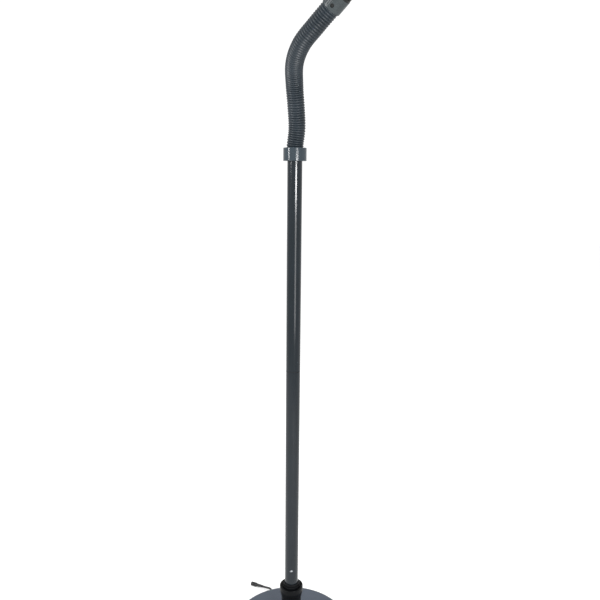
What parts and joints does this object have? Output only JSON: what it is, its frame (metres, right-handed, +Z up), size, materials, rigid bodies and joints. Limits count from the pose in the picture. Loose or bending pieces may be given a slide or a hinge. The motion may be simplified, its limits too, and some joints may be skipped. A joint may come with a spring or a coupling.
{
  "type": "magnifying lamp",
  "caption": "Floor-standing magnifying lamp: weighted round base, two-piece pole, bendable ribbed neck and a hinged ring-light head with a covered lens.",
  "frame": {"origin": "centre of the base pad's underside, on the pole's axis", "axes": "+Z up along the pole, -Y towards the user, +X to the user's right"},
  "size_m": [0.3437, 0.5186, 1.1606],
  "materials": {
    "base_shell": "smooth slate blue-grey moulding",
    "hub_black": "moulded black plastic",
    "trim_black": "fine matt black",
    "pole_paint": "glossy charcoal paint",
    "collar_grey": "smooth dark grey",
    "sleeve_grey": "ribbed dark grey sleeve",
    "ferrule_grey": "smooth dark grey",
    "steel": "plain machined",
    "zinc": "zinc plated",
    "black_steel": "black finish",
    "iron": "raw casting",
    "head_shell": "smooth grey moulding",
    "lens_glass": "polished",
    "diffuser_white": "opal",
    "board_white": "solder mask with emitters",
    "pad_rubber": "matt",
    "nylon": "natural nylon",
    "cord_black": "smooth black sheath"
  },
  "bodies": {
    "stand": {"base_pad": "pad_rubber", "base_plate": "zinc", "base_screws": "zinc", "base_weight": "iron", "base_cover": "base_shell", "hub_socket": "hub_black", "hub_spigot": "steel", "hub_nipple": "zinc", "hub_nut": "zinc", "hub_washer": "zinc", "pole_ring": "hub_black", "lower_tube": "pole_paint", "tube_coupler": "trim_black", "upper_tube": "pole_paint", "collar": "collar_grey", "collar_screw": "black_steel", "collar_bush": "nylon", "inner_cable": "cord_black", "cord_grommet": "cord_black", "power_cord": "cord_black", "cord_connector": "cord_black"},
    "snap": {"snap_button": "zinc", "snap_spring": "steel"},
    "neck_foot": {"neck_stub": "steel", "stub_circlip": "steel", "hose_0": "sleeve_grey", "core_0": "steel"},
    "neck_1": {"hose_1": "sleeve_grey", "core_1": "steel"},
    "neck_2": {"hose_2": "sleeve_grey", "core_2": "steel"},
    "neck_3": {"hose_3": "sleeve_grey", "core_3": "steel"},
    "neck_4": {"hose_4": "sleeve_grey", "core_4": "steel"},
    "neck_5": {"hose_5": "sleeve_grey", "core_5": "steel"},
    "neck_6": {"hose_6": "sleeve_grey", "core_6": "steel", "ferrule": "ferrule_grey", "ferrule_screw": "black_steel", "head_fork": "black_steel", "tilt_bolt": "black_steel", "tilt_washers": "nylon"},
    "knob": {"tilt_knob": "trim_black"},
    "knuckle": {"head_knuckle": "black_steel", "knuckle_clip": "steel"},
    "head": {"head_housing": "head_shell", "head_bezel": "head_shell", "head_screws": "zinc", "lens": "lens_glass", "lens_ring": "trim_black", "diffuser": "diffuser_white", "led_board": "board_white", "board_screws": "zinc", "driver_box": "trim_black", "switch_frame": "trim_black", "lid_pin": "steel"},
    "switch": {"switch_rocker": "trim_black"},
    "lid": {"lens_cover": "head_shell"}
  },
  "joints": [
    {"name": "snap_push", "type": "slide", "parent": "stand", "child": "snap", "axis": [0, 1, 0], "range_m": [0, 0.0024], "stiffness_N_per_m": 600, "springref_m": -0.004},
    {"name": "neck_swivel", "type": "hinge", "parent": "stand", "child": "neck_foot", "pos_m": [0, 0, 0.905], "axis": [0, 0, 1], "range_deg": [-170, 170]},
    {"name": "neck_bend_1", "type": "hinge", "parent": "neck_foot", "child": "neck_1", "pos_m": [0.003, -0.004, 0.9463], "axis": [0.9998, 0.0041, -0.0198], "range_deg": [-20, 20]},
    {"name": "neck_bend_2", "type": "hinge", "parent": "neck_1", "child": "neck_2", "pos_m": [0.0013, -0.014, 0.9796], "axis": [0, 0.9461, 0.324], "range_deg": [-20, 20]},
    {"name": "neck_bend_3", "type": "hinge", "parent": "neck_2", "child": "neck_3", "pos_m": [-0.0013, -0.026, 1.0107], "axis": [0.9993, -0.0199, 0.0326], "range_deg": [-20, 20]},
    {"name": "neck_bend_4", "type": "hinge", "parent": "neck_3", "child": "neck_4", "pos_m": [-0.0012, -0.051, 1.0389], "axis": [0, 0.6826, 0.7308], "range_deg": [-20, 20]},
    {"name": "neck_bend_5", "type": "hinge", "parent": "neck_4", "child": "neck_5", "pos_m": [0.0093, -0.08, 1.0611], "axis": [0.9067, 0.324, -0.27], "range_deg": [-20, 20]},
    {"name": "neck_bend_6", "type": "hinge", "parent": "neck_5", "child": "neck_6", "pos_m": [0.0293, -0.102, 1.0813], "axis": [0, 0.7395, 0.6731], "range_deg": [-20, 20]},
    {"name": "knob_turn", "type": "hinge", "parent": "neck_6", "child": "knob", "pos_m": [0.07566, -0.13638, 1.12721], "axis": [-0.7709, -0.2673, 0.5782], "range_deg": [0, 270]},
    {"name": "head_tilt", "type": "hinge", "parent": "neck_6", "child": "knuckle", "pos_m": [0.07566, -0.13638, 1.12721], "axis": [0.7709, 0.2673, -0.5782], "range_deg": [-118, 30]},
    {"name": "head_twist", "type": "hinge", "parent": "knuckle", "child": "head", "pos_m": [0.08647, -0.16432, 1.12872], "axis": [0.3605, -0.9314, 0.0501], "range_deg": [-90, 90]},
    {"name": "lid_open", "type": "hinge", "parent": "head", "child": "lid", "pos_m": [0.09758, -0.19301, 1.15429], "axis": [-0.9326, -0.361, 0], "range_deg": [0, 110]},
    {"name": "switch_rock", "type": "hinge", "parent": "head", "child": "switch", "pos_m": [0.14365, -0.18174, 1.14859], "axis": [0.2396, 0.97, -0.041], "range_deg": [0, 16]}
  ],
  "couplings": [
    {"joint": "neck_bend_3", "follows": "neck_bend_1", "ratio": 1},
    {"joint": "neck_bend_4", "follows": "neck_bend_2", "ratio": 1},
    {"joint": "neck_bend_5", "follows": "neck_bend_1", "ratio": 1},
    {"joint": "neck_bend_6", "follows": "neck_bend_2", "ratio": 1}
  ]
}
